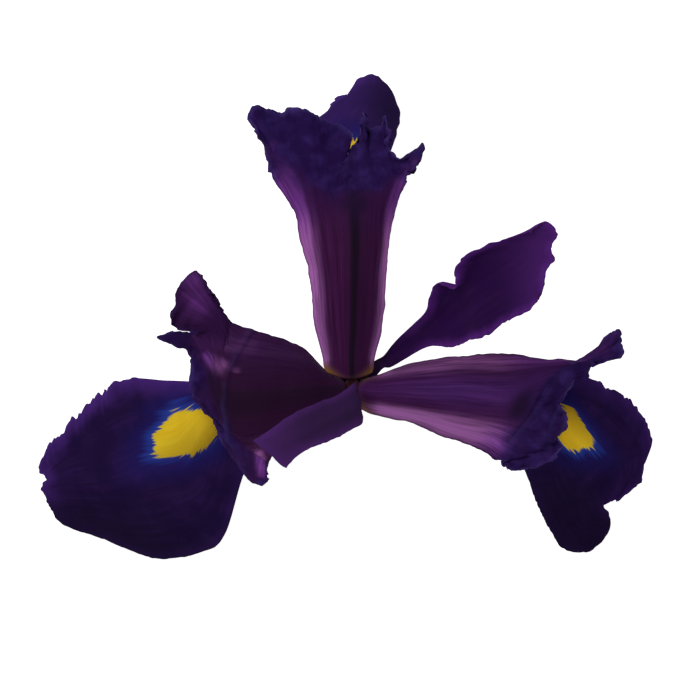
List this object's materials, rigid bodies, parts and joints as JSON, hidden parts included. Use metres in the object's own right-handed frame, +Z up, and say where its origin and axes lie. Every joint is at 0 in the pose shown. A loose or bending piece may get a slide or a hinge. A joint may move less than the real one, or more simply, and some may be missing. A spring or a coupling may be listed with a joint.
{
  "type": "iris blossom",
  "caption": "Cut blossom of a dark purple Dutch iris lying face up: drooping falls with a yellow signal, upright standards and arched style arms with ruffled crests.",
  "frame": {"origin": "centre of the bounding box in plan, on the surface that the tips of the falls rest on", "axes": "+Z up out of the face of the flower, +Y towards the rear style arm, +X towards the right fall"},
  "size_m": [0.1118, 0.0888, 0.0566],
  "materials": {
    "fall": "velvety dark indigo petal with a yellow signal",
    "standard": "satin dark violet petal",
    "style_arm": "satin magenta purple, darker ridge, blue violet crest",
    "filament": "pale lilac thread",
    "anther": "dusty yellow pod",
    "style_column": "waxy dark wine",
    "perianth_tube": "waxy brown flushed with purple",
    "ovary": "waxy green",
    "pedicel": "waxy green, paler at the cut"
  },
  "bodies": {
    "root": {"fall_rear": "fall", "fall_left": "fall", "fall_right": "fall", "standard_right": "standard", "standard_front": "standard", "standard_left": "standard", "style_arm_rear": "style_arm", "style_arm_left": "style_arm", "style_arm_right": "style_arm", "filament_rear": "filament", "filament_left": "filament", "filament_right": "filament", "anther_rear": "anther", "anther_left": "anther", "anther_right": "anther", "style_column": "style_column", "perianth_tube": "perianth_tube", "ovary": "ovary", "pedicel": "pedicel"}
  },
  "joints": []
}
